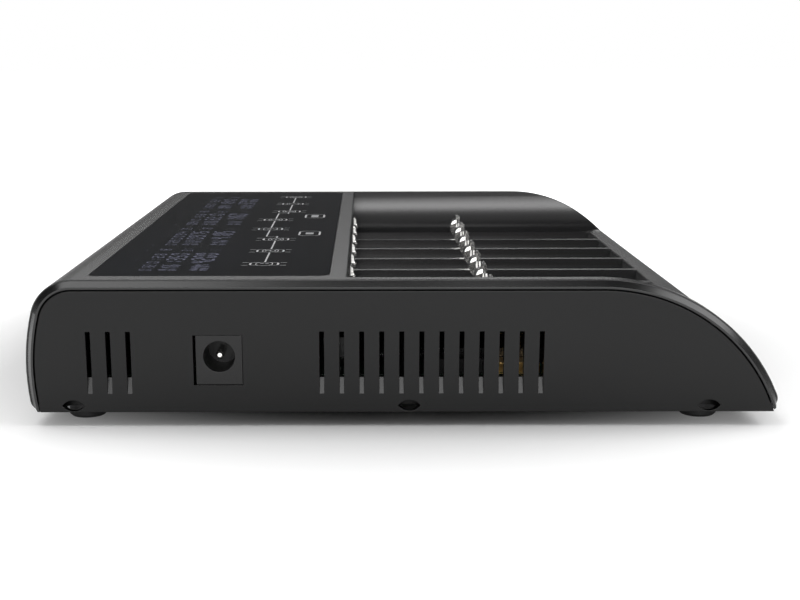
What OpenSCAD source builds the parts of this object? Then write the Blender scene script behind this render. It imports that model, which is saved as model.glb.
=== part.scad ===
// Eight-slot charger for cylindrical cells.
// The cells lie along X, the slots follow each other along Y, and Z is up.
// The display end is at -X and the sloping nose at +X.
// The origin is the middle of the footprint, on the surface that the feet stand on.

/* [Body] */
// Length along the cells
body_length = 172.2; // [168:0.1:180]
// Width across the slots
body_width = 196; // [194:0.5:204]
// Height of the housing without its feet
body_height = 30.4; // [29:0.1:33]
// Thickness of the moulded walls
wall = 2; // [1.6:0.1:2.2]
// Radius of the arc that falls from the top to the nose
nose_radius = 45; // [42:0.5:48]
// Radius of the bulging end behind the display
bulge_radius = 52; // [48:1:60]
// Radius between the top and the bulging end
shoulder_radius = 10; // [8:0.5:12]
// Width of the bevel along both long edges of the cover
bevel = 1.7; // [1.2:0.1:1.8]
// Height of that bevel
bevel_drop = 1.5; // [1.2:0.1:1.5]
// Step along the edge of the flat top, where the bevel begins
bevel_step = 0.3; // [0.1:0.05:0.4]
// Gap at the seam between the cover and the side panels
seam_gap = 0.2; // [0.2:0.05:0.4]
// Width of the broken edge of the side panels along the seam
panel_edge = 0.25; // [0.1:0.05:0.4]

/* [Cell slots] */
// Diameter of the largest cell
cell_diameter = 21.5; // [20.5:0.1:21.5]
// Distance between neighbouring slots
slot_pitch = 21.5; // [21.5:0.05:21.8]
// Depth of the cell axis below the top
cell_axis_depth = 7.5; // [7:0.1:8]
// Depth of the ridges between the slots below the top
ridge_depth = 13.4; // [13:0.1:13.8]
// Distance from the middle of the housing to the wall with the positive contacts
bay_wall_offset = 12.7; // [12.4:0.1:13]
// Distance from the middle of the housing to the far ends of the slots
slot_end = 71.9; // [71:0.1:72.5]
// Width of the hollow curve beside the outer slots
scoop_width = 7.5; // [7:0.1:8]
// Width of the broken edges at the mouths of the slots
slot_edge = 0.3; // [0.1:0.05:0.4]

/* [Sliding contacts] */
// Place of the contacts at rest, from the middle of the housing
slider_rest = 23.8; // [22:0.1:26]
// Travel that the longest cell needs
slider_travel = 43; // [40:0.5:43]
// Depth of the contact tips below the top
slider_tip_depth = 6.3; // [6:0.1:7]
// Thickness of the contact strip
strip = 0.5; // [0.4:0.05:0.6]

/* [Display] */
// Length of the display glass along the cells
glass_length = 55.4; // [54:0.1:56]
// Width of the display glass across the slots
glass_width = 183.2; // [180:0.1:184]
// Distance from the middle of the housing to the middle of the glass
glass_offset = 44.5; // [44:0.1:44.8]
// Thickness of the glass
glass_thickness = 1; // [0.8:0.1:1.1]

/* [Side panels] */
// Distance between neighbouring vents
vent_pitch = 4.53; // [4.3:0.01:4.6]
// Width of a vent
vent_width = 1.1; // [0.9:0.05:1.4]
// Height of a vent with its sloping sill
vent_height = 14.4; // [12:0.1:15]
// Height of the sloping sill
sill_height = 3.6; // [3:0.1:4]
// Depth of the sloping sill, from which a level ledge leads inwards
sill_depth = 1.3; // [1:0.1:1.6]
// Number of vents beside the display
vents_left = 3; // [2:1:4]
// Number of vents beside the slots
vents_right = 12; // [8:1:13]

/* [Inlet] */
// Distance from the middle of the housing to the middle of the inlet
jack_offset = 41.8; // [41:0.1:43]
// Diameter of the inlet's opening
jack_bore = 7.2; // [6.4:0.1:7.4]
// Diameter of the inlet's centre pin
jack_pin_diameter = 2; // [1.9:0.05:2.5]

/* [Feet] */
// Height of the feet below the housing
foot_height = 3.4; // [2.5:0.1:4]
// Diameter of the feet
foot_diameter = 8.8; // [8:0.1:9]

/* [Hidden] */
$fn = 48;
slots = 8;
feet = 4;
toe_radius = 2.5;
half_length = body_length / 2;
half_width = body_width / 2;
base_z = foot_height;
top_z = base_z + body_height;
floor_z = base_z + wall;
ridge_z = top_z - ridge_depth;
axis_z = top_z - cell_axis_depth;
panel_inset = wall + seam_gap;
panel_inner = half_width - wall;

// Centres and end angles of the arcs of the side outline
toe_z = base_z + toe_radius;
nose_z = top_z - nose_radius;
toe_angle = asin((toe_z - nose_z) / (nose_radius - toe_radius));
nose_x = half_length - toe_radius - (nose_radius - toe_radius) * cos(toe_angle);
bulge_z = top_z - 21;
bulge_x = bulge_radius - half_length;
heel_angle = asin((bulge_z - toe_z) / (bulge_radius - toe_radius));
shoulder_z = top_z - shoulder_radius;
shoulder_angle = asin((shoulder_z - bulge_z) / (bulge_radius - shoulder_radius));
shoulder_x = bulge_x - (bulge_radius - shoulder_radius) * cos(shoulder_angle);

// Battery bay
trough_radius = cell_diameter / 2 + 0.2;
trough_outer = trough_radius + wall;
trough_low = axis_z - trough_outer;
mouth_half = sqrt(pow(trough_radius, 2) - pow(axis_z - ridge_z, 2));
mouth_angle = asin(mouth_half / trough_radius);
bay_wall_x = -bay_wall_offset;
bay_half = slots * slot_pitch / 2;
scoop_outer = scoop_width + wall + 0.2;
slit_width = 3;
bar_round = 0.5;

// Boards
board = 1.6;
main_board_z = trough_low - 3.55 - board;
display_board_z = top_z - 4.6;
glass_ledge = 3;
ear_y = half_width - 4.6;
ear_x = [-60, -28];
standoff_x = [-60, 50];
standoff_y = 3 * slot_pitch;
flex_x = -32;

// Sliding contacts, their shoes and springs
column = 1.4;
tip_z = top_z - slider_tip_depth;
dome_z = tip_z - 3.8;
shoulder_top_z = tip_z - 2.6;
shoulder_low_z = shoulder_top_z - 1.7;
plate_low_z = tip_z - 10.2;
tip_half = 2.5;
nose_half = 3.3;
plate_half = 4.5;
leg_half = 1.1;
shoe_length = 10;
shoe_half = 3.4;
shoe_top_z = trough_low - 0.3;
shoe_low_z = shoe_top_z - 2.75;
rail_gap = 0.35;
rail = 1.2;
anchor_x = -8;
spring_diameter = 2.6;
spring_z = trough_low - 1.65;
spring_coils = 12;

// Screws, wells and feet
well_x = [-75.4, 1.4, 70.05];
well_y = half_width - 4.1;
well_radius = 2.8;
well_top_z = base_z + 4.8;
post_radius = 4.3;
boss_radius = 2;
foot_x = [-74.4, 70.15];
foot_y = 86.6;
foot_sink = 1;

// Inlet
jack_width = 10.55;
jack_depth = 13.2;
jack_z = main_board_z + board;
jack_height = 11.4;
jack_bore_z = top_z - 17.45;
jack_face = half_width - 0.3;
jack_gap = 0.1;

// Vents
vent_top_z = top_z - 11.65;
vent_left_x = -71.35;
vent_right_x = -18.5;

function numbered(stem, count) = [for (i = [1:count]) str(stem, "_", i)];
function slot_y(i) = (i - (slots + 1) / 2) * slot_pitch;
function arc(x, z, r, from, to, steps) =
    [for (i = [0:steps]) let (a = from + (to - from) * i / steps) [x + r * cos(a), z + r * sin(a)]];
function ellipse_arc(y, z, half_w, half_h, from, to, steps) =
    [for (i = [0:steps]) let (a = from + (to - from) * i / steps) [y + half_w * cos(a), z + half_h * sin(a)]];

// Side outline with rounded lower corners, drawn in by an inset
function full_outline(inset) = concat(
    arc(nose_x, nose_z, nose_radius - inset, 90, toe_angle, 24),
    arc(half_length - toe_radius, toe_z, toe_radius - inset, toe_angle, 0, 3),
    arc(half_length - toe_radius, toe_z, toe_radius - inset, -15, -90, 5),
    arc(bulge_x - (bulge_radius - toe_radius) * cos(heel_angle), toe_z, toe_radius - inset,
        -90, heel_angle - 180, 6),
    arc(bulge_x, bulge_z, bulge_radius - inset, 180 + heel_angle, 180, 3),
    arc(bulge_x, bulge_z, bulge_radius - inset, 178, 180 - shoulder_angle, 5),
    arc(shoulder_x, shoulder_z, shoulder_radius - inset, 178 - shoulder_angle, 90, 12)
);

// Side outline drawn in from the outer one, cut off level at the bottom
function inset_outline(inset, low) = concat(
    arc(nose_x, nose_z, nose_radius - inset, 90, asin((low - nose_z) / (nose_radius - inset)), 28),
    arc(bulge_x, bulge_z, bulge_radius - inset, 180 + asin((bulge_z - low) / (bulge_radius - inset)), 180, 3),
    arc(bulge_x, bulge_z, bulge_radius - inset, 178, 180 - shoulder_angle, 5),
    arc(shoulder_x, shoulder_z, shoulder_radius - inset, 178 - shoulder_angle, 90, 12)
);

// An outline in X and Z, extruded along Y
module along_y(from, to) {
    translate([0, to, 0]) rotate([90, 0, 0]) linear_extrude(to - from) children();
}

// An outline in Y and Z, extruded along X
module along_x(from, to) {
    translate([from, 0, 0]) rotate([90, 0, 90]) linear_extrude(to - from) children();
}

// A plate with rounded corners, from z upwards
module rounded_plate(length, width, thickness, radius) {
    translate([-length / 2, radius - width / 2, 0]) cube([length, width - 2 * radius, thickness]);
    translate([radius - length / 2, -width / 2, 0]) cube([length - 2 * radius, width, thickness]);
    for (x = [radius - length / 2, length / 2 - radius], y = [radius - width / 2, width / 2 - radius])
        translate([x, y, 0]) cylinder(r = radius, h = thickness);
}

// The cover's solid form: one side outline, then a small step, then a bevel along both long edges
module cover_blank() {
    along_y(bevel - half_width, half_width - bevel) polygon(full_outline(0));
    hull() {
        along_y(bevel - half_width, half_width - bevel) polygon(full_outline(bevel_step));
        along_y(-half_width, half_width) intersection() {
            polygon(inset_outline(bevel_drop, base_z));
            polygon(full_outline(0));
        }
    }
}

// Section of the bay: open above the ridges, with a hollow curve on both sides
module bay_section(side_width, depth) {
    polygon(concat(
        ellipse_arc(bay_half, top_z, side_width, depth, 0, -90, 12),
        ellipse_arc(-bay_half, top_z, side_width, depth, -90, -180, 12),
        [[-bay_half - side_width, top_z + 1], [bay_half + side_width, top_z + 1]]
    ));
}

// Walls of the bay, its corrugated floor and the shelf before the nose
module bay_walls() {
    intersection() {
        cover_blank();
        union() {
            along_x(bay_wall_x - wall, half_length) bay_section(scoop_outer, ridge_depth + wall);
            for (x = [bay_wall_x - wall, slot_end])
                translate([x, -bay_half, trough_low]) cube([wall, 2 * bay_half, ridge_z - trough_low]);
            along_x(bay_wall_x - wall, slot_end + wall) intersection() {
                for (i = [1:slots]) translate([slot_y(i), axis_z]) circle(trough_outer, $fn = 96);
                translate([-bay_half, trough_low - 1]) square([2 * bay_half, ridge_z - trough_low]);
            }
        }
    }
}

// Broken edges of one slot: along both ridges, and across its end wall
module slot_mouth() {
    half = mouth_half + slot_edge;
    lower_half = mouth_half - slot_edge * cos(mouth_angle);
    lower = -slot_edge * sin(mouth_angle);
    along_x(bay_wall_x, slot_end) translate([0, ridge_z])
        polygon([[-half, 1], [-half, 0], [-lower_half, lower], [lower_half, lower], [half, 0], [half, 1]]);
    along_y(-half, half) translate([slot_end, ridge_z])
        polygon([[-1, 1], [-1, -slot_edge], [0, -slot_edge], [slot_edge, 0], [slot_edge, 1]]);
}

// What is cut from the cover so that the cells can lie in it
module bay_cut() {
    along_x(bay_wall_x, half_length + 5) bay_section(scoop_width, ridge_depth);
    for (i = [1:slots]) {
        translate([bay_wall_x, slot_y(i), axis_z]) rotate([0, 90, 0])
            cylinder(r = trough_radius, h = slot_end - bay_wall_x, $fn = 96);
        translate([0, slot_y(i), 0]) slot_mouth();
    }
    along_y(-bay_half - scoop_width, bay_half + scoop_width) difference() {
        translate([bay_wall_x - bar_round, top_z - bar_round]) square(bar_round + 1);
        translate([bay_wall_x - bar_round, top_z - bar_round]) circle(bar_round);
    }
}

// Slit that the leg of a sliding contact runs in
module leg_slit() {
    translate([slider_rest - column / 2 - 0.6, -slit_width / 2, trough_low - 1])
        cube([slider_travel + column + 1.2, slit_width, 2 * wall]);
}

// Rails that keep a shoe straight, and the post that its spring hangs on
module slider_guides() {
    rail_start = slider_rest - shoe_length;
    for (side = [-1, 1])
        translate([rail_start, side * (shoe_half + rail_gap + rail / 2) - rail / 2, shoe_low_z])
            cube([slot_end + wall - rail_start, rail, trough_low + 1.6 - shoe_low_z]);
    translate([anchor_x, 0, shoe_low_z]) cylinder(d = 2.4, h = trough_low + 1 - shoe_low_z);
}

// Opening behind a positive contact for its tail
module tail_slot() {
    translate([bay_wall_x - wall - 1, -1.1, axis_z - 3.4]) cube([wall + 2, 2.2, 0.8]);
}

// Posts under the cover that the housing screws and the display screws turn into
module cover_bosses() {
    intersection() {
        cover_blank();
        union() {
            for (x = well_x, side = [-1, 1])
                translate([x, side * well_y, well_top_z + wall + 0.1])
                    cylinder(r = boss_radius, h = body_height);
            for (x = ear_x, side = [-1, 1])
                translate([x, side * ear_y, display_board_z + 0.1]) cylinder(r = 2.2, h = 4);
        }
    }
}

module top_cover() {
    color("#26272a") difference() {
        union() {
            difference() {
                cover_blank();
                along_y(-half_width - 1, half_width + 1) polygon(inset_outline(wall, base_z - 1));
            }
            bay_walls();
            cover_bosses();
            for (i = [1:slots]) translate([0, slot_y(i), 0]) slider_guides();
        }
        bay_cut();
        for (i = [1:slots]) translate([0, slot_y(i), 0]) {
            leg_slit();
            tail_slot();
        }
        translate([-glass_offset, 0, top_z - glass_thickness])
            rounded_plate(glass_length + 0.1, glass_width + 0.1, glass_thickness + 1, 2.5);
        translate([-glass_offset, 0, top_z - 2 * wall])
            rounded_plate(glass_length - 2 * glass_ledge, glass_width - 2 * glass_ledge, 2 * wall, 2);
        for (x = well_x, side = [-1, 1])
            translate([x, side * well_y, well_top_z + wall]) cylinder(d = 2.3, h = 6);
        for (x = ear_x, side = [-1, 1])
            translate([x, side * ear_y, display_board_z]) cylinder(d = 1.7, h = 3);
    }
}

// One vent: a slot through the panel, whose sill slopes up and inwards to a level ledge
module vent() {
    vent_low_z = vent_top_z - vent_height;
    along_x(-vent_width / 2, vent_width / 2) polygon([
        [-half_width - 1, vent_top_z],
        [-panel_inner + 1, vent_top_z],
        [-panel_inner + 1, vent_low_z + sill_height],
        [sill_depth - half_width, vent_low_z + sill_height],
        [-half_width, vent_low_z],
        [-half_width - 1, vent_low_z]
    ]);
}

module vent_rows() {
    for (i = [0:vents_left - 1]) translate([vent_left_x + i * vent_pitch, 0, 0]) vent();
    for (i = [0:vents_right - 1]) translate([vent_right_x + i * vent_pitch, 0, 0]) vent();
}

// Lens-shaped opening where a screw well breaks out through a side panel
module well_window() {
    lens_radius = 3.15;
    lens_rise = 1.85;
    along_y(-half_width - 1, -half_width + 3) translate([0, base_z + 1.5]) intersection() {
        translate([0, lens_rise]) circle(lens_radius);
        translate([0, -lens_rise]) circle(lens_radius);
    }
}

// A side panel, whose outer edge is broken along the seam
module side_panel() {
    hull() {
        along_y(panel_edge - half_width, -panel_inner) polygon(inset_outline(panel_inset, base_z));
        along_y(-half_width, -panel_inner) polygon(inset_outline(panel_inset + panel_edge, base_z));
    }
}

module base_tray() {
    color("#1f2022") difference() {
        union() {
            along_y(-half_width, half_width) intersection() {
                polygon(inset_outline(panel_inset, base_z));
                translate([-half_length, base_z]) square([body_length, wall]);
            }
            for (side = [0, 1]) mirror([0, side, 0]) side_panel();
            for (x = well_x, side = [-1, 1]) intersection() {
                translate([x, side * well_y, base_z]) cylinder(r = post_radius, h = well_top_z + wall - base_z);
                translate([-half_length, -half_width, 0]) cube([body_length, body_width, top_z]);
            }
            for (x = standoff_x, side = [-1, 1])
                translate([x, side * standoff_y, base_z]) cylinder(d = 6, h = main_board_z - base_z);
        }
        for (side = [0, 1]) mirror([0, side, 0]) {
            vent_rows();
            for (x = well_x) translate([x, 0, 0]) well_window();
        }
        for (x = well_x, side = [-1, 1]) translate([x, side * well_y, 0]) {
            translate([0, 0, base_z - 1]) cylinder(r = well_radius, h = well_top_z - base_z + 1);
            cylinder(d = 2.8, h = top_z);
        }
        for (x = standoff_x, side = [-1, 1])
            translate([x, side * standoff_y, floor_z - 0.5]) cylinder(d = 1.7, h = 5);
        for (x = foot_x, side = [-1, 1])
            translate([x, side * foot_y, base_z - 1]) cylinder(d = foot_diameter + 0.1, h = foot_sink + 1);
        translate([-jack_offset - jack_width / 2 - 0.6, -half_width - 1, jack_z - jack_gap])
            cube([jack_width + 0.6 + jack_gap, wall + 2, jack_height + 2 * jack_gap]);
    }
}

module display_glass() {
    color("#0c0d10") translate([-glass_offset, 0, top_z - glass_thickness])
        rounded_plate(glass_length, glass_width, glass_thickness, 2.45);
}

module lcd_module() {
    lcd_low = display_board_z;
    color("#2b3140") translate([-54.5, -4, lcd_low])
        rounded_plate(26, 166, top_z - glass_thickness - 0.1 - lcd_low, 0.5);
}

module display_board() {
    color("#1d4a2c") difference() {
        union() {
            translate([-70, -half_width + 8, display_board_z - board]) cube([50.5, body_width - 16, board]);
            for (x = ear_x, side = [-1, 1])
                translate([x, side * (ear_y - 1.4), display_board_z - board]) rounded_plate(8, 7.6, board, 1);
        }
        for (x = ear_x, side = [-1, 1])
            translate([x, side * ear_y, display_board_z - 2 * board]) cylinder(d = 2.1, h = 3 * board);
    }
}

// A pan-head screw that points up, with a cross recess in its head
module screw(diameter, length, head_diameter, head) {
    difference() {
        union() {
            translate([0, 0, -head]) cylinder(d = head_diameter, h = head);
            cylinder(d = diameter, h = length);
        }
        for (a = [0, 90]) rotate(a)
            translate([-head_diameter * 0.3, -0.25, -head - 0.1]) cube([head_diameter * 0.6, 0.5, 0.9]);
    }
}

module display_screws() {
    color("silver") for (x = ear_x, side = [-1, 1])
        translate([x, side * ear_y, display_board_z - board]) screw(1.6, 4, 3.4, 1.2);
}

module cover_screws() {
    color("silver") for (x = well_x, side = [-1, 1])
        translate([x, side * well_y, well_top_z]) screw(2.2, 7, 4.6, 1.7);
}

module board_screws() {
    color("silver") for (x = standoff_x, side = [-1, 1])
        translate([x, side * standoff_y, main_board_z + board]) rotate([180, 0, 0]) screw(1.6, 4, 3.4, 1.2);
}

module main_board() {
    color("#1d4a2c") difference() {
        translate([-79, -88, main_board_z]) cube([145, 176, board]);
        for (x = standoff_x, side = [-1, 1])
            translate([x, side * standoff_y, main_board_z - 1]) cylinder(d = 2.1, h = board + 2);
    }
}

// Flat cable between the boards, and the connector at each of its ends
module flex_cable() {
    color("#c9a24b") translate([flex_x, -11, main_board_z + board + 2])
        cube([0.3, 22, display_board_z - main_board_z - 2 * board - 4]);
}

module flex_connectors() {
    color("#d8d3c4") for (z = [main_board_z + board, display_board_z - board - 2])
        translate([flex_x - 2, -12.5, z]) cube([4.3, 25, 2]);
}

module dc_jack() {
    color("#1a1a1b") difference() {
        translate([-jack_offset - jack_width / 2, -jack_face, jack_z])
            cube([jack_width, jack_depth, jack_height]);
        translate([-jack_offset, 1 - jack_face, jack_bore_z]) rotate([90, 0, 0]) cylinder(d = jack_bore, h = 3);
        translate([-jack_offset, 10.2 - jack_face, jack_bore_z]) rotate([90, 0, 0])
            cylinder(d = jack_bore, h = 11);
    }
}

module dc_jack_pin() {
    pin_length = 8.6;
    color("#d9dadb") translate([-jack_offset, 10.2 - jack_face, jack_bore_z]) rotate([90, 0, 0]) {
        cylinder(d = jack_pin_diameter, h = pin_length - 0.5);
        translate([0, 0, pin_length - 0.5])
            cylinder(d1 = jack_pin_diameter, d2 = jack_pin_diameter / 2, h = 0.5);
    }
}

module capacitors() {
    color("#23262d") for (x = [-72, -62], y = [-50, -38, 38, 50])
        translate([x, y, main_board_z + board]) cylinder(d = 8, h = 12);
}

// Each slot's parts on the board stand under the ridges, where there is room
function ridge_y(i) = i == 1 ? -bay_half + 2.5 : slot_y(i) - slot_pitch / 2;

module inductors() {
    color("#c8963c") for (i = [1:slots])
        translate([22.5, ridge_y(i) - 3, main_board_z + board]) cube([10, 6, 2.4]);
}

module transistors() {
    color("#2a2b2d") for (i = [1:slots])
        translate([8, ridge_y(i) - 3, main_board_z + board]) cube([11, 6, 3.4]);
}

module control_chip() {
    color("#1d1e20") translate([-56, -6, main_board_z + board]) cube([12, 12, 1.6]);
}

module rubber_foot(i) {
    color("#141414") translate([foot_x[(i - 1) % 2], (i > 2 ? 1 : -1) * foot_y, 0]) {
        cylinder(d1 = foot_diameter - 1, d2 = foot_diameter, h = 0.5);
        translate([0, 0, 0.5]) cylinder(d = foot_diameter, h = base_z + foot_sink - 0.5);
    }
}

// Fixed contact: a plate against the bay wall, a dome for the cell's cap and a tail to the board
module positive_contact(i) {
    plate = 0.8;
    plate_half_y = 4.5;
    plate_low = dome_z - 4;
    plate_top = dome_z + 3.1;
    corner = 2.1;
    dome_radius = 1.4;
    dome_low = 0.6;
    dome_rise = 0.6;
    tail_z = axis_z - 3.3;
    color("#cfd2d4") translate([bay_wall_x, slot_y(i), 0]) {
        intersection() {
            along_x(0, plate) polygon([
                [-plate_half_y, plate_low], [plate_half_y, plate_low],
                [plate_half_y, plate_top - corner], [plate_half_y - corner, plate_top],
                [corner - plate_half_y, plate_top], [-plate_half_y, plate_top - corner]
            ]);
            along_y(-plate_half_y, plate_half_y) union() {
                translate([0, plate_low]) square([plate, plate_top - plate - plate_low]);
                translate([0, plate_top - plate]) circle(plate);
            }
        }
        translate([plate + dome_rise - dome_radius, 0, dome_z]) rotate([0, 90, 0]) rotate_extrude()
            polygon(concat([[0, dome_low]], arc(0, 0, dome_radius, asin(dome_low / dome_radius), 90, 8)));
        translate([-wall - 1.1, -1, tail_z]) cube([wall + 1.1, 2, 0.6]);
        translate([-wall - 1.1, -1, main_board_z + board]) cube([0.6, 2, tail_z - main_board_z - board]);
    }
}

// The nose that a sliding contact presses with: rounded below, with broken edges along its sloping top
module contact_nose() {
    slope = 21;
    edge = 0.8;
    intersection() {
        along_y(-nose_half, nose_half) polygon(concat([[-0.6, -1.4]], arc(0.9, -4.1, 3.44, 138, 246, 12)));
        translate([-0.6, 0, -1.4]) rotate([0, -slope, 0]) along_x(-4, 4) polygon([
            [-nose_half, -8], [nose_half, -8],
            [nose_half, -edge], [nose_half - edge, 0],
            [edge - nose_half, 0], [-nose_half, -edge]
        ]);
    }
}

// Sliding contact: a strip folded double, with wide shoulders, a leg and a nose
module negative_contact(i) {
    color("#d6d8da") translate([slider_rest, slot_y(i), 0]) {
        intersection() {
            along_x(-2, 2) polygon([
                [-tip_half, tip_z], [tip_half, tip_z],
                [tip_half, shoulder_top_z], [plate_half, shoulder_low_z],
                [plate_half, plate_low_z], [leg_half, plate_low_z],
                [leg_half, shoe_low_z + 0.5], [-leg_half, shoe_low_z + 0.5],
                [-leg_half, plate_low_z], [-plate_half, plate_low_z],
                [-plate_half, shoulder_low_z], [-tip_half, shoulder_top_z]
            ]);
            along_y(-6, 6) difference() {
                union() {
                    translate([-column / 2, 0]) square([column, tip_z - column / 2]);
                    translate([0, tip_z - column / 2]) circle(column / 2);
                }
                translate([strip - column / 2, 0]) square([column - 2 * strip, tip_z - column]);
            }
        }
        translate([0, 0, tip_z]) contact_nose();
    }
}

// Carriage under the trough that holds the leg of a sliding contact
module slider_shoe(i) {
    color("#303134") translate([slider_rest, slot_y(i), 0]) difference() {
        translate([-shoe_length / 2, -shoe_half, shoe_low_z])
            cube([shoe_length, 2 * shoe_half, shoe_top_z - shoe_low_z]);
        translate([-column / 2, -leg_half, shoe_low_z + 0.5]) cube([column, 2 * leg_half, 5]);
    }
}

// Extension spring that draws the shoe towards its post
module slider_spring(i) {
    spring_start = anchor_x + 1.5;
    spring_length = slider_rest - shoe_length / 2 - 0.2 - spring_start;
    coil = spring_length / spring_coils;
    wire = 0.4;
    color("#b9bcc0") translate([spring_start, slot_y(i), spring_z]) rotate([0, 90, 0]) rotate_extrude($fn = 16)
        polygon(concat(
            [for (k = [0:spring_coils - 1], p = [[1, 0.15], [0, 0.5], [0, 1]])
                [spring_diameter / 2 - p[0] * wire / 2, (k + p[1]) * coil]],
            [[spring_diameter / 2 - wire, spring_length], [spring_diameter / 2 - wire, 0]]
        ));
}

top_cover();
base_tray();
display_glass();
lcd_module();
display_board();
display_screws();
flex_cable();
flex_connectors();
main_board();
board_screws();
dc_jack();
dc_jack_pin();
capacitors();
inductors();
transistors();
control_chip();
cover_screws();
for (i = [1:feet]) rubber_foot(i);
for (i = [1:slots]) positive_contact(i);
for (i = [1:slots]) negative_contact(i);
for (i = [1:slots]) slider_shoe(i);
for (i = [1:slots]) slider_spring(i);
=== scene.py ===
"""Looks for the eight-slot charger.

Materials, the printed display panel, coil springs, floor, light and camera, around the CAD frame.
"""

import math

import bmesh
import bpy
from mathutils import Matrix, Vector, geometry


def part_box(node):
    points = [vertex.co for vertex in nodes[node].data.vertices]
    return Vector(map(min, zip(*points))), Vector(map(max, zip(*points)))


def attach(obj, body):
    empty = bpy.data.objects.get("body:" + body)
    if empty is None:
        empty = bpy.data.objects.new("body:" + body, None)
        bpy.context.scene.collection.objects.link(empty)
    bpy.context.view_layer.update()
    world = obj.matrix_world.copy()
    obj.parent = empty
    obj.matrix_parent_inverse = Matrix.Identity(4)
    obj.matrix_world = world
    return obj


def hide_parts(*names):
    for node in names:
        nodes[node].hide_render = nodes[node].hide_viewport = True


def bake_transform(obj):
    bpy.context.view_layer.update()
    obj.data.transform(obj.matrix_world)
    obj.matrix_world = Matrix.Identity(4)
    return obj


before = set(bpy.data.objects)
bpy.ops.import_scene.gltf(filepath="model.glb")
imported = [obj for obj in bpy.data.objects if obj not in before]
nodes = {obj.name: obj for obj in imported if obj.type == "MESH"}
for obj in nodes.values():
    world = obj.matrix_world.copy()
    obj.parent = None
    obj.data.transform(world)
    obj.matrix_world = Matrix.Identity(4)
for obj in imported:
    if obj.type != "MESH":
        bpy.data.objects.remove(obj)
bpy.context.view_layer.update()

MM = 0.001
SLOTS = 8
PITCH = 21.5


def slot_y(k):
    """Middle of slot k, 1 to 8, in millimetres."""
    return (k - (SLOTS + 1) / 2) * PITCH


# Camera: the photograph's viewpoint, at 800 x 600
IMAGE_WIDTH = 800
SENSOR_WIDTH = 36
FOCAL_PX = 1310.4
CAMERA_PITCH = 14.03
CAMERA_ROLL = 0.0016
CAMERA_PLACE = (-8.4 * MM, -387.3 * MM, 83.2 * MM)
camera_data = bpy.data.cameras.new("Camera")
camera = bpy.data.objects.new("Camera", camera_data)
bpy.context.scene.collection.objects.link(camera)
camera_data.sensor_width = SENSOR_WIDTH
camera_data.lens = FOCAL_PX * SENSOR_WIDTH / IMAGE_WIDTH
camera_data.shift_x = 0.0427
camera_data.shift_y = 0.1
camera_data.clip_start = 0.01
camera.location = CAMERA_PLACE
camera.rotation_euler = (math.radians(90 - CAMERA_PITCH), CAMERA_ROLL, 0)
bpy.context.scene.camera = camera


# Materials
# Sockets of the colour mix node: its inputs A and B, and its result
MIX_A, MIX_B, MIX_RESULT = 6, 7, 2


class Surface:
    """A Principled material whose node tree is built up step by step."""

    def __init__(self, name, colour, roughness, metallic=0.0, ior=1.5):
        self.material = bpy.data.materials.new(name)
        self.material.use_nodes = True
        self.tree = self.material.node_tree
        self.shader = self.tree.nodes["Principled BSDF"]
        self.set("Base Color", (*colour, 1))
        self.set("Roughness", roughness)
        self.set("Metallic", metallic)
        self.set("IOR", ior)
        self.colour = colour
        self.roughness = roughness
        self.place = self.node("ShaderNodeTexCoord").outputs["Object"]
        self.normal = None

    def node(self, kind, **values):
        made = self.tree.nodes.new(kind)
        for key, value in values.items():
            setattr(made, key, value)
        return made

    def set(self, socket, value):
        self.shader.inputs[socket].default_value = value

    def link(self, a, b):
        self.tree.links.new(a, b)

    def noise(self, scale, detail=3.0, stretch=(1, 1, 1)):
        """A noise value, with scale in waves per metre along each axis."""
        mapping = self.node("ShaderNodeMapping")
        mapping.inputs["Scale"].default_value = stretch
        self.link(self.place, mapping.inputs["Vector"])
        made = self.node("ShaderNodeTexNoise")
        made.inputs["Scale"].default_value = scale
        made.inputs["Detail"].default_value = detail
        self.link(mapping.outputs[0], made.inputs["Vector"])
        return made.outputs["Fac"]

    def cells(self, scale):
        """The distance inside round cells, with scale in cells per metre."""
        made = self.node("ShaderNodeTexVoronoi", feature="SMOOTH_F1")
        made.inputs["Scale"].default_value = scale
        self.link(self.place, made.inputs["Vector"])
        return made.outputs["Distance"]

    def ranged(self, value, low, high, source_low=0.3, source_high=0.7):
        made = self.node("ShaderNodeMapRange")
        made.inputs["From Min"].default_value = source_low
        made.inputs["From Max"].default_value = source_high
        made.inputs["To Min"].default_value = low
        made.inputs["To Max"].default_value = high
        self.link(value, made.inputs["Value"])
        return made.outputs["Result"]

    def vary_roughness(self, value, spread):
        low, high = self.roughness - spread, self.roughness + spread
        self.link(self.ranged(value, low, high), self.shader.inputs["Roughness"])
        return self

    def mix_colour(self, value, other):
        """Goes from the base colour to the other one as the value rises."""
        made = self.node("ShaderNodeMix", data_type="RGBA")
        made.inputs[MIX_A].default_value = (*self.colour, 1)
        made.inputs[MIX_B].default_value = (*other, 1)
        self.link(value, made.inputs["Factor"])
        self.link(made.outputs[MIX_RESULT], self.shader.inputs["Base Color"])
        return self

    def round_edges(self, radius):
        made = self.node("ShaderNodeBevel", samples=6)
        made.inputs["Radius"].default_value = radius
        self.normal = made.outputs["Normal"]
        self.link(self.normal, self.shader.inputs["Normal"])
        return self

    def bump(self, value, depth, strength=1.0):
        made = self.node("ShaderNodeBump")
        made.inputs["Distance"].default_value = depth
        made.inputs["Strength"].default_value = strength
        self.link(value, made.inputs["Height"])
        if self.normal:
            self.link(self.normal, made.inputs["Normal"])
        self.normal = made.outputs["Normal"]
        self.link(self.normal, self.shader.inputs["Normal"])
        return self


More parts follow.
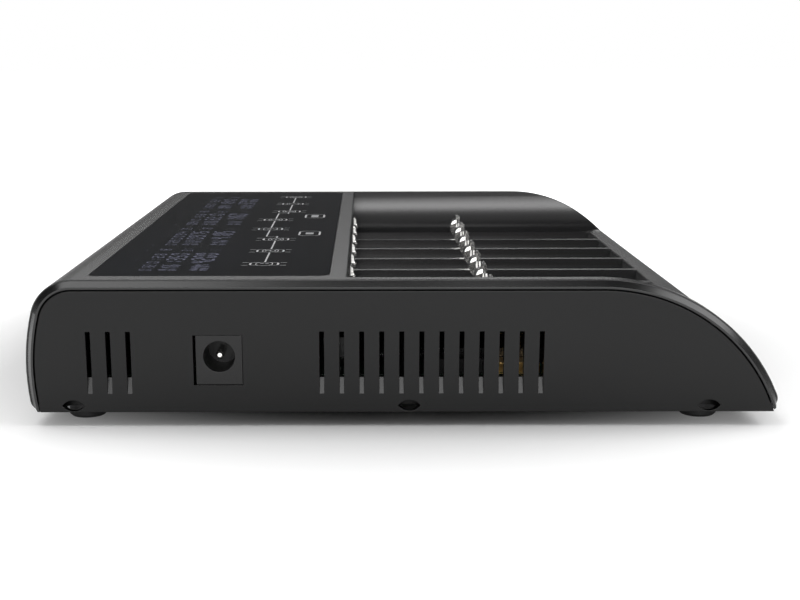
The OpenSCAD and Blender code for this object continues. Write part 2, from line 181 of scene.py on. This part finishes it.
def moulded(name, colour, roughness, edge, grain=2400, depth=8e-6, gloss=0.5):
    """Moulded plastic with a fine eroded grain and a faint drift of colour.

    Its gloss stays even: where it varied, flat faces seen at a grazing angle showed hairlines.
    """
    made = Surface(name, colour, roughness, ior=1.52)
    made.set("Specular IOR Level", gloss)
    lighter = tuple(c * 1.25 + 0.001 for c in colour)
    made.mix_colour(made.ranged(made.noise(35, 2), 0, 1), lighter)
    made.round_edges(edge)
    made.bump(made.noise(grain, 4), depth)
    return made.material


def plated(name, colour, roughness, stretch=(1, 1, 1), edge=None):
    """Plated or brushed metal with fine drawing marks."""
    made = Surface(name, colour, roughness, metallic=1.0)
    marks = made.noise(900, 3, stretch)
    made.vary_roughness(marks, 0.05)
    duller = tuple(c * 0.88 for c in colour)
    made.mix_colour(made.ranged(made.noise(160, 3), 0, 1), duller)
    if edge:
        made.round_edges(edge)
    made.bump(marks, 1e-6)
    return made.material


def rubber(name, colour):
    made = Surface(name, colour, 0.72, ior=1.5)
    made.vary_roughness(made.noise(300, 3), 0.08)
    made.mix_colour(made.ranged(made.noise(700, 3), 0, 1), tuple(c * 1.5 for c in colour))
    made.round_edges(0.0003)
    made.bump(made.cells(1800), 2e-5)
    return made.material


def circuit_board():
    """Green solder mask over copper tracks."""
    made = Surface("board_mask", (0.012, 0.075, 0.03), 0.32, ior=1.5)
    tracks = made.node("ShaderNodeTexBrick", offset=0.5)
    for socket, value in (("Scale", 260), ("Mortar Size", 0.06), ("Brick Width", 1.4)):
        tracks.inputs[socket].default_value = value
    made.link(made.place, tracks.inputs["Vector"])
    raised = tracks.outputs["Fac"]
    made.mix_colour(raised, (0.03, 0.15, 0.06))
    made.vary_roughness(made.noise(500, 2), 0.05)
    made.round_edges(0.0001)
    made.bump(raised, 2e-5)
    return made.material


def black_glass():
    made = Surface("display_black", (0.006, 0.0065, 0.008), 0.06, ior=1.42)
    made.vary_roughness(made.noise(60, 2), 0.02)
    made.mix_colour(made.ranged(made.noise(24, 1), 0, 1), (0.008, 0.009, 0.012))
    return made.material


def print_ink(name, colour, roughness):
    """Ink printed behind the glass, a little uneven."""
    made = Surface(name, colour, roughness, ior=1.42)
    made.mix_colour(made.ranged(made.noise(2200, 3), 0, 1), tuple(c * 0.9 for c in colour))
    made.vary_roughness(made.noise(60, 2), 0.02)
    return made.material


def lcd_segment(name, colour):
    """Lit segment of the display, with the faint grid of its polariser."""
    made = Surface(name, colour, 0.1, ior=1.42)
    grid = made.node("ShaderNodeTexChecker")
    grid.inputs["Scale"].default_value = 5200
    made.link(made.place, grid.inputs["Vector"])
    made.mix_colour(grid.outputs["Fac"], tuple(c * 0.8 for c in colour))
    return made.material


def capacitor_sleeve():
    made = Surface("capacitor_sleeve", (0.02, 0.022, 0.03), 0.3, ior=1.5)
    made.vary_roughness(made.noise(400, 2), 0.06)
    made.mix_colour(made.ranged(made.noise(300, 2), 0, 1), (0.03, 0.033, 0.045))
    made.round_edges(0.0003)
    made.bump(made.noise(900, 2), 1e-5)
    return made.material


COVER_BLACK = (0.006, 0.0061, 0.0064)
# The tray's black is darker than the cover's, which paints shade onto the side panel that the tray
# forms.
TRAY_BLACK_SHADED = (0.0035, 0.0036, 0.0038)
INLET_BLACK = (0.005, 0.005, 0.0053)
looks = {
    "cover": moulded("cover_satin", COVER_BLACK, 0.27, 0.00012, depth=2e-6),
    "tray": moulded("tray_satin", TRAY_BLACK_SHADED, 0.32, 0.0002, gloss=0.25),
    "glass": black_glass(),
    "lcd": moulded("lcd_frame", (0.05, 0.055, 0.06), 0.35, 0.0001),
    "circuit_board": circuit_board(),
    "screw_steel": plated("screw_zinc", (0.62, 0.62, 0.64), 0.3),
    "flex": moulded("flex_polyimide", (0.5, 0.24, 0.05), 0.3, 0.00005, 600),
    "connector": moulded("connector_nylon", (0.72, 0.68, 0.58), 0.45, 0.0002),
    "jack_body": moulded("inlet_black", INLET_BLACK, 0.36, 0.0002, gloss=0.34),
    "contact": plated("contact_nickel", (0.86, 0.85, 0.83), 0.17, (1, 1, 8)),
    "capacitor": capacitor_sleeve(),
    "inductor": plated("inductor_copper", (0.85, 0.55, 0.2), 0.35, (8, 1, 1), 0.0004),
    "chip": moulded("chip_epoxy", (0.02, 0.02, 0.022), 0.5, 0.0001),
    "foot": rubber("foot_rubber", (0.012, 0.012, 0.013)),
    "shoe": moulded("shoe_acetal", (0.03, 0.03, 0.033), 0.35, 0.0002),
    "spring": plated("spring_steel", (0.7, 0.7, 0.71), 0.25),
}


def smooth_by_angle(limit):
    """A node group that shades faces smooth, but keeps edges that bend by more than the limit."""
    tree = bpy.data.node_groups.new("smooth_by_angle", "GeometryNodeTree")
    for direction in ("INPUT", "OUTPUT"):
        tree.interface.new_socket("Geometry", in_out=direction, socket_type="NodeSocketGeometry")
    bend = tree.nodes.new("GeometryNodeInputMeshEdgeAngle")
    gentle = tree.nodes.new("FunctionNodeCompare")
    gentle.operation = "LESS_THAN"
    gentle.inputs["B"].default_value = limit
    tree.links.new(bend.outputs["Unsigned Angle"], gentle.inputs["A"])
    edges = tree.nodes.new("GeometryNodeSetShadeSmooth")
    edges.domain = "EDGE"
    tree.links.new(gentle.outputs["Result"], edges.inputs["Shade Smooth"])
    faces = tree.nodes.new("GeometryNodeSetShadeSmooth")
    faces.domain = "FACE"
    tree.links.new(tree.nodes.new("NodeGroupInput").outputs[0], edges.inputs[0])
    tree.links.new(edges.outputs[0], faces.inputs[0])
    tree.links.new(faces.outputs[0], tree.nodes.new("NodeGroupOutput").inputs[0])
    return tree


# The curves' facets bend by less than this, and the vents' sills by more
SMOOTH_LIMIT = math.radians(16)
WELD_DISTANCE = 1e-6
smoothing = smooth_by_angle(SMOOTH_LIMIT)
for cad_object in nodes.values():
    for material_slot in cad_object.material_slots:
        material_slot.material = looks[material_slot.material.name]
    cad_object.modifiers.new("joined", "WELD").merge_threshold = WELD_DISTANCE
    cad_object.modifiers.new("smooth_by_angle", "NODES").node_group = smoothing
    cad_object.modifiers.new("flat_faces_first", "WEIGHTED_NORMAL").keep_sharp = True


# Display panel: glass with white print and display segments level with its face
glass_low, glass_high = (Vector(v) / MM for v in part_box("display_glass"))
GLASS_CORNER = 2.45
EDGE = 0.18


def rounded_loop(low, high, radius, steps=6):
    """Counter-clockwise rounded rectangle in X and Y, in millimetres."""
    corners = (
        (high[0] - radius, low[1] + radius, -90),
        (high[0] - radius, high[1] - radius, 0),
        (low[0] + radius, high[1] - radius, 90),
        (low[0] + radius, low[1] + radius, 180),
    )
    points = []
    for x, y, start in corners:
        for i in range(steps + 1):
            a = math.radians(start + 90 * i / steps)
            points.append((x + radius * math.cos(a), y + radius * math.sin(a)))
    return points


class Artwork:
    """Flat shapes on the glass, in millimetres.

    A reader at the slot end sees u to the right, which is +Y, and v up, which is -X.
    """

    def __init__(self):
        self.loops = []
        self.inks = []

    def add(self, loop, ink, hole=False):
        self.loops.append(loop)
        self.inks.append((ink, hole))

    def polygon(self, points, ink):
        """Points in (u, v)."""
        self.add([(-v, u) for u, v in points], ink)

    def bar(self, u, v, width, height, ink, slant=0.0):
        """A bar with its lower left corner at (u, v)."""
        lean = slant * height
        self.polygon(
            [(u, v), (u + width, v), (u + width + lean, v + height), (u + lean, v + height)], ink
        )

    def ring(self, u, v, width, height, radius, line, ink):
        """A rounded outline centred on (u, v)."""
        low, high = (-v - height / 2, u - width / 2), (-v + height / 2, u + width / 2)
        self.add(rounded_loop(low, high, radius, 4), ink)
        low = (low[0] + line, low[1] + line)
        high = (high[0] - line, high[1] - line)
        self.add(rounded_loop(low, high, max(radius - line, 0.05), 4), ink, hole=True)

    def digit(self, symbol, u, v, width, height, line, ink, slant=0.1):
        """A seven-segment digit with its lower left corner at (u, v)."""
        gap = line * 0.18
        middle = v + height / 2

        def leaned(points):
            return [(u + a + (b - v) * slant, b) for a, b in points]

        def across(level):
            h = line / 2
            return leaned(
                [
                    (h + gap, level),
                    (line + gap, level - h),
                    (width - line - gap, level - h),
                    (width - h - gap, level),
                    (width - line - gap, level + h),
                    (line + gap, level + h),
                ]
            )

        def upright(x, low, high):
            h = line / 2
            return leaned(
                [
                    (x, low + gap),
                    (x + h, low + h + gap),
                    (x + h, high - h - gap),
                    (x, high - gap),
                    (x - h, high - h - gap),
                    (x - h, low + h + gap),
                ]
            )

        half = line / 2
        top, bottom = v + height - half, v + half
        shapes = {
            "a": across(top),
            "g": across(middle),
            "d": across(bottom),
            "f": upright(half, middle, top),
            "b": upright(width - half, middle, top),
            "e": upright(half, bottom, middle),
            "c": upright(width - half, bottom, middle),
        }
        for name in SEGMENTS[symbol]:
            self.polygon(shapes[name], ink)


SEGMENTS = {
    "0": "abcdef",
    "1": "bc",
    "2": "abged",
    "3": "abgcd",
    "4": "fgbc",
    "5": "afgcd",
    "6": "afgedc",
    "7": "abc",
    "8": "abcdefg",
    "9": "abcdfg",
}
GLASS, PRINT, LIT, DIM = range(4)
art = Artwork()

# Four groups of readings, each for two slots: three rows, read from the slot end.
# A row has the v of its lower edge, its height, its line width and its digits' width.
ROWS = ((45.6, 6.0, 0.85, 3.3), (52.9, 4.8, 0.7, 3.1), (58.7, 3.1, 0.45, 2.5))
READINGS = (
    ("4200", "1350", "0128", "36"),
    ("4185", "0975", "0094", "31"),
    ("1460", "2210", "0156", "18"),
    ("3700", "1840", "0132", "25"),
)
FIRST_GROUP, GROUP_STEP = -64.2, 42.0
READING_START, READING_STEP = -8.6, 4.3
BEFORE_START, AFTER_START, SMALL_STEP, SMALL_WIDTH = -19.6, 11.2, 2.3, 1.7
SCALE_V, SCALE_STEP = 64.7, 3.2
for g in range(4):
    group_u = FIRST_GROUP + GROUP_STEP * g
    for row, (v, height, line, width) in enumerate(ROWS):
        for i, symbol in enumerate(READINGS[g][row]):
            art.digit(symbol, group_u + READING_START + i * READING_STEP, v, width, height, line, LIT)
        if row < 2:
            # The point comes after the first digit in the first row, after the second one in the next
            point_u = group_u + READING_START + READING_STEP * (row + 1) - 0.62
            art.bar(point_u, v, line * 0.9, line * 0.9, LIT)
        # A smaller figure before the reading, and another after it
        size = (SMALL_WIDTH, min(height, 4.4), line * 0.75)
        for i, symbol in enumerate(READINGS[(g + row + 1) % 4][2]):
            art.digit(symbol, group_u + BEFORE_START + i * SMALL_STEP, v, *size, LIT)
        size = (SMALL_WIDTH, min(height, 3.0), 0.3)
        for i, symbol in enumerate(READINGS[(g + row) % 4][3]):
            art.digit(symbol, group_u + AFTER_START + i * SMALL_STEP, v, *size, LIT if row else DIM)
    # Divisions of the scale along the outer edge of the display
    for i in range(11):
        art.bar(group_u - 20 + i * SCALE_STEP, SCALE_V, 0.25 if i % 5 else 1.6, 0.45, DIM)

# Printed cell marks, one for each slot: a long ring with thick ends, a round badge and four dashes
LINE = 0.2
MARK_SHIFT = 1.3
MARK_V, MIDDLE_MARK_V = 33.0, 36.0
marks = []
for k in range(1, SLOTS + 1):
    mark_v = MIDDLE_MARK_V if k in (4, 5) else MARK_V
    mark_u = slot_y(k) + MARK_SHIFT
    marks.append((mark_u, mark_v))
    art.ring(mark_u, mark_v, 4.6, 7.2, 1.6, LINE, PRINT)
    art.ring(mark_u, mark_v, 5.4, 4.2, 2.1, LINE, PRINT)
    art.digit(str(k), mark_u - 0.9, mark_v - 1.4, 1.8, 2.8, 0.4, PRINT, slant=0.0)
    for side in (-1, 1):
        art.bar(mark_u - 1.3, mark_v + side * 3.35 - 0.25, 2.6, 0.5, PRINT)
        for dash in (-1, 1):
            art.bar(mark_u + dash * 2.1 - 0.12, mark_v + side * 4.6 - 0.75, 0.24, 1.5, PRINT)

# Leader line between the marks, with a jog on both sides of the middle two
LEADER = 0.4
BADGE_HALF = 3.1
JOG = 2.5
for (u0, v0), (u1, v1) in zip(marks, marks[1:]):
    start, end = u0 + BADGE_HALF, u1 - BADGE_HALF
    if v0 == v1:
        art.bar(start, v0 - LEADER / 2, end - start, LEADER, PRINT)
        continue
    low_v, rise = min(v0, v1), abs(v1 - v0)
    long_run = end - start - JOG - LINE
    if v1 > v0:
        art.bar(start, v0 - LEADER / 2, JOG, LEADER, PRINT)
        art.bar(start + JOG, low_v - LEADER / 2, LINE, rise + LEADER, PRINT)
        art.bar(start + JOG + LINE, v1 - LEADER / 2, long_run, LEADER, PRINT)
    else:
        art.bar(start, v0 - LEADER / 2, long_run, LEADER, PRINT)
        art.bar(end - JOG - LINE, low_v - LEADER / 2, LINE, rise + LEADER, PRINT)
        art.bar(end - JOG, v1 - LEADER / 2, JOG, LEADER, PRINT)

# Two touch keys: a thin outline with thick brackets round a few bars
KEY_V = 24.3
KEY_BAR_STEP = 1.9
for key_u, bars in ((21.0, 3), (-19.0, 2)):
    art.ring(key_u, KEY_V, 9.8, 6.2, 2.2, 0.26, PRINT)
    for side in (-1, 1):
        art.bar(key_u - 2.6, KEY_V + side * 2.8 - 0.25, 5.2, 0.5, PRINT)
    for i in range(bars):
        bar_u = key_u - bars * KEY_BAR_STEP / 2 + i * KEY_BAR_STEP + 0.3
        art.bar(bar_u, KEY_V - 1.1, 1.3, 2.2, PRINT)


def display_panel():
    """Glass whose top face is divided along the artwork, with a small chamfer round it."""
    outer = rounded_loop(glass_low, glass_high, GLASS_CORNER)
    inner = rounded_loop(
        (glass_low[0] + EDGE, glass_low[1] + EDGE),
        (glass_high[0] - EDGE, glass_high[1] - EDGE),
        GLASS_CORNER - EDGE,
    )
    points, faces = [], []
    for loop in [inner] + art.loops:
        faces.append(list(range(len(points), len(points) + len(loop))))
        points.extend(Vector(p) for p in loop)
    flat, _, triangles, _, _, sources = geometry.delaunay_2d_cdt(points, [], faces, 1, 1e-5, True)
    bm = bmesh.new()
    top = [bm.verts.new((p.x, p.y, glass_high[2])) for p in flat]
    for corners, source in zip(triangles, sources):
        # The shape drawn last covers the earlier ones, and a hole shows the glass
        last = max(source, default=0)
        colour, hole = art.inks[last - 1] if last else (GLASS, False)
        face = bm.faces.new([top[c] for c in corners])
        face.material_index = GLASS if hole else colour
    rim = top[: len(inner)]
    upper = [bm.verts.new((x, y, glass_high[2] - EDGE)) for x, y in outer]
    lower = [bm.verts.new((x, y, glass_low[2])) for x, y in outer]
    count = len(inner)
    for a, b in ((rim, upper), (upper, lower)):
        for i in range(count):
            j = (i + 1) % count
            bm.faces.new((b[i], b[j], a[j], a[i]))
    bm.faces.new(list(reversed(lower)))
    bmesh.ops.recalc_face_normals(bm, faces=bm.faces)
    bmesh.ops.scale(bm, vec=(MM, MM, MM), verts=bm.verts)
    mesh = bpy.data.meshes.new("display_panel")
    bm.to_mesh(mesh)
    bm.free()
    for look in (
        looks["glass"],
        print_ink("print_white", (0.82, 0.83, 0.84), 0.12),
        lcd_segment("segment_lit", (0.19, 0.195, 0.28)),
        lcd_segment("segment_dim", (0.05, 0.052, 0.075)),
    ):
        mesh.materials.append(look)
    panel = bpy.data.objects.new("display_panel", mesh)
    bpy.context.scene.collection.objects.link(panel)
    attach(panel, "housing")
    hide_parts("display_glass")


display_panel()


# Coil springs
def helix(start_x, end_x, y, z, radius, wire, turns, per_turn=14, sides=6):
    """Vertices in metres and faces of a wire coiled about X, with a hook at its start.

    The lengths given are in millimetres.
    """
    centres = []
    hook = 10
    for i in range(hook):
        a = math.pi * (1.5 * i / hook - 0.5)
        hook_x = start_x - radius * 0.9 + radius * 0.9 * math.sin(a) * 0.6
        centres.append((hook_x, y + radius * 0.55 * math.cos(a), z))
    count = int(turns * per_turn)
    for i in range(count + 1):
        a = 2 * math.pi * i / per_turn
        x = start_x + (end_x - start_x) * i / count
        centres.append((x, y + radius * math.cos(a), z + radius * math.sin(a)))
    vertices, faces = [], []
    for i, centre in enumerate(centres):
        before, after = centres[max(i - 1, 0)], centres[min(i + 1, len(centres) - 1)]
        along = (Vector(after) - Vector(before)).normalized()
        across = Vector((0, 0, 1)) if abs(along.z) < 0.9 else Vector((0, 1, 0))
        side = along.cross(across).normalized()
        up = side.cross(along)
        for s in range(sides):
            a = 2 * math.pi * s / sides
            p = Vector(centre) + (side * math.cos(a) + up * math.sin(a)) * wire / 2
            vertices.append(p * MM)
    for i in range(len(centres) - 1):
        for s in range(sides):
            t = (s + 1) % sides
            faces.append((i * sides + s, i * sides + t, (i + 1) * sides + t, (i + 1) * sides + s))
    last = (len(centres) - 1) * sides
    faces.append(tuple(reversed(range(sides))))
    faces.append(tuple(last + s for s in range(sides)))
    return vertices, faces


WIRE = 0.38
TURNS = 26
for k in range(1, SLOTS + 1):
    low, high = (Vector(v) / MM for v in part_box(f"slider_spring_{k}"))
    radius = (high.z - low.z - WIRE) / 2
    middle_y, middle_z = (low.y + high.y) / 2, (low.z + high.z) / 2
    vertices, faces = helix(low.x + 0.6, high.x - 0.3, middle_y, middle_z, radius, WIRE, TURNS)
    mesh = bpy.data.meshes.new(f"spring_coil_{k}")
    mesh.from_pydata(vertices, [], faces)
    for face in mesh.polygons:
        face.use_smooth = True
    mesh.materials.append(looks["spring"])
    coil = bpy.data.objects.new(f"spring_coil_{k}", mesh)
    bpy.context.scene.collection.objects.link(coil)
    start, end = Vector((low.x, 0, 0)) * MM, Vector((high.x, 0, 0)) * MM
    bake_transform(coil)
    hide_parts(f"slider_spring_{k}")


# Floor, world and lamps
FLOOR_HALF = 6.0
# The floor glows white for the camera, in reflections and through glass, rising between these
# distances from the object's middle to this strength; nearer than the first distance it doesn't glow,
# which paints a shadow round the object, seen again as painted shade towards the lower edge of the
# side panel's reflection.
PAINTED_SHADOW_INNER, PAINTED_SHADOW_OUTER, FLOOR_GLOW = 0.085, 0.2, 0.75
# Strength of the world for diffuse light, and of its ceiling and front patch in reflections
WORLD_FILL = 0.35
CEILING = 0.05
FRONT_PATCH = 0.55
CARD_GREY = 0.09
CARD_RADIUS, CARD_HEIGHT, CARD_STEPS = 1.6, 0.42, 40


def range_sockets(node, values):
    """Sets a Map Range node's From Min, From Max, To Min and To Max."""
    for socket, value in zip(("From Min", "From Max", "To Min", "To Max"), values):
        node.inputs[socket].default_value = value


def light_path_white(tree):
    """A value of 1 for rays that show the background: to the camera, in gloss and through glass."""
    path = tree.nodes.new("ShaderNodeLightPath")
    total = path.outputs["Is Camera Ray"]
    for name in ("Is Glossy Ray", "Is Transmission Ray"):
        either = tree.nodes.new("ShaderNodeMath")
        either.operation = "MAXIMUM"
        tree.links.new(total, either.inputs[0])
        tree.links.new(path.outputs[name], either.inputs[1])
        total = either.outputs[0]
    return total


# A white floor whose glow fades out near the object, which paints a shadow round it.
def plain_floor():
    mesh = bpy.data.meshes.new("floor")
    corners = [(-1, -1), (1, -1), (1, 1), (-1, 1)]
    mesh.from_pydata([(x * FLOOR_HALF, y * FLOOR_HALF, 0) for x, y in corners], [], [(0, 1, 2, 3)])
    floor = bpy.data.objects.new("floor", mesh)
    bpy.context.scene.collection.objects.link(floor)
    material = bpy.data.materials.new("floor_white_painted_shadow")
    material.use_nodes = True
    tree = material.node_tree
    shader = tree.nodes["Principled BSDF"]
    shader.inputs["Base Color"].default_value = (0.86, 0.86, 0.86, 1)
    shader.inputs["Roughness"].default_value = 0.9
    shader.inputs["Specular IOR Level"].default_value = 0.0
    glow = tree.nodes.new("ShaderNodeEmission")
    place = tree.nodes.new("ShaderNodeTexCoord")
    distance = tree.nodes.new("ShaderNodeVectorMath")
    distance.operation = "LENGTH"
    tree.links.new(place.outputs["Object"], distance.inputs[0])
    # Painted shadow: no glow within the inner distance, rising to the full glow at the outer one.
    painted_shadow_ramp = tree.nodes.new("ShaderNodeMapRange")
    painted_shadow_ramp.interpolation_type = "SMOOTHSTEP"
    range_sockets(painted_shadow_ramp, (PAINTED_SHADOW_INNER, PAINTED_SHADOW_OUTER, 0.0, FLOOR_GLOW))
    tree.links.new(distance.outputs["Value"], painted_shadow_ramp.inputs["Value"])
    scaled = tree.nodes.new("ShaderNodeMath")
    scaled.operation = "MULTIPLY"
    tree.links.new(light_path_white(tree), scaled.inputs[0])
    tree.links.new(painted_shadow_ramp.outputs["Result"], scaled.inputs[1])
    tree.links.new(scaled.outputs[0], glow.inputs["Strength"])
    both = tree.nodes.new("ShaderNodeAddShader")
    tree.links.new(shader.outputs[0], both.inputs[0])
    tree.links.new(glow.outputs[0], both.inputs[1])
    tree.links.new(both.outputs[0], tree.nodes["Material Output"].inputs["Surface"])
    mesh.materials.append(material)


def white_world():
    """White for the camera; reflections show a white horizon and a grey patch high in front."""
    world = bpy.data.worlds.new("studio")
    bpy.context.scene.world = world
    world.use_nodes = True
    tree = world.node_tree
    background = tree.nodes["Background"]
    background.inputs["Color"].default_value = (1, 1, 1, 1)
    place = tree.nodes.new("ShaderNodeTexCoord")
    split = tree.nodes.new("ShaderNodeSeparateXYZ")
    tree.links.new(place.outputs["Generated"], split.inputs[0])
    horizon = tree.nodes.new("ShaderNodeMapRange")
    horizon.interpolation_type = "SMOOTHSTEP"
    range_sockets(horizon, (0.06, 0.26, 1.0, CEILING))
    tree.links.new(split.outputs["Z"], horizon.inputs["Value"])
    facing = tree.nodes.new("ShaderNodeVectorMath")
    facing.operation = "DOT_PRODUCT"
    facing.inputs[1].default_value = (0, -0.82, 0.57)
    tree.links.new(place.outputs["Generated"], facing.inputs[0])
    patch = tree.nodes.new("ShaderNodeMapRange")
    patch.interpolation_type = "SMOOTHSTEP"
    range_sockets(patch, (0.8, 0.95, 0.0, FRONT_PATCH))
    tree.links.new(facing.outputs["Value"], patch.inputs["Value"])
    ceiling = tree.nodes.new("ShaderNodeMath")
    ceiling.operation = "MAXIMUM"
    tree.links.new(horizon.outputs["Result"], ceiling.inputs[0])
    tree.links.new(patch.outputs["Result"], ceiling.inputs[1])
    seen = tree.nodes.new("ShaderNodeMapRange")
    seen.inputs["To Min"].default_value = WORLD_FILL
    tree.links.new(light_path_white(tree), seen.inputs["Value"])
    tree.links.new(ceiling.outputs[0], seen.inputs["To Max"])
    path = tree.nodes.new("ShaderNodeLightPath")
    direct = tree.nodes.new("ShaderNodeMath")
    direct.operation = "MAXIMUM"
    tree.links.new(path.outputs["Is Camera Ray"], direct.inputs[0])
    tree.links.new(seen.outputs["Result"], direct.inputs[1])
    tree.links.new(direct.outputs[0], background.inputs["Strength"])


def softbox(name, place, aim, width, height, watts, diffuse=True):
    """A rectangular lamp at the place, turned to the aim; without diffuse it shows in gloss only."""
    lamp = bpy.data.lights.new(name, "AREA")
    lamp.shape = "RECTANGLE"
    lamp.size, lamp.size_y = width, height
    lamp.energy = watts
    made = bpy.data.objects.new(name, lamp)
    bpy.context.scene.collection.objects.link(made)
    made.location = place
    made.rotation_euler = (Vector(aim) - Vector(place)).to_track_quat("-Z", "Y").to_euler()
    made.visible_diffuse = diffuse


def dark_card():
    """A curved card low behind the object, seen only in reflections, which keeps the top dark."""
    bm = bmesh.new()
    previous = None
    for i in range(CARD_STEPS + 1):
        a = math.radians(20 + 140 * i / CARD_STEPS)
        x, y = CARD_RADIUS * math.cos(a), CARD_RADIUS * math.sin(a)
        pair = (bm.verts.new((x, y, 0.002)), bm.verts.new((x, y, CARD_HEIGHT)))
        if previous:
            bm.faces.new((previous[0], pair[0], pair[1], previous[1]))
        previous = pair
    mesh = bpy.data.meshes.new("dark_card")
    bm.to_mesh(mesh)
    bm.free()
    material = bpy.data.materials.new("card_grey")
    material.use_nodes = True
    shader = material.node_tree.nodes["Principled BSDF"]
    shader.inputs["Base Color"].default_value = (CARD_GREY, CARD_GREY, CARD_GREY, 1)
    shader.inputs["Roughness"].default_value = 1.0
    shader.inputs["Specular IOR Level"].default_value = 0.0
    mesh.materials.append(material)
    card = bpy.data.objects.new("dark_card", mesh)
    bpy.context.scene.collection.objects.link(card)
    card.visible_camera = False
    card.visible_diffuse = False
    card.visible_shadow = False


plain_floor()
white_world()
dark_card()
# over_slots and over_bar whiten the contacts' 45 degree faces
softbox("above_left", (-0.38, -0.05, 0.9), (-0.38, -0.05, 0), 0.52, 0.6, 2.85)
softbox("over_slots", (0.1, 0.025, 0.9), (0.1, 0.025, 0), 0.08, 0.25, 0.1)
softbox("over_bar", (-0.02, -0.115, 0.9), (-0.02, -0.115, 0), 0.05, 0.2, 0.06)
softbox("right", (0.78, 0.0, 0.7), (0, 0, 0.02), 1.0, 0.58, 5.5)
softbox("front", (0.1, -1.27, 0.46), (0, 0, 0.02), 1.2, 0.42, 12.7, diffuse=False)
softbox("rear", (-0.2, 1.1, 0.62), (0, 0, 0.03), 1.2, 0.35, 4.9)
bpy.context.scene.view_settings.view_transform = "Standard"
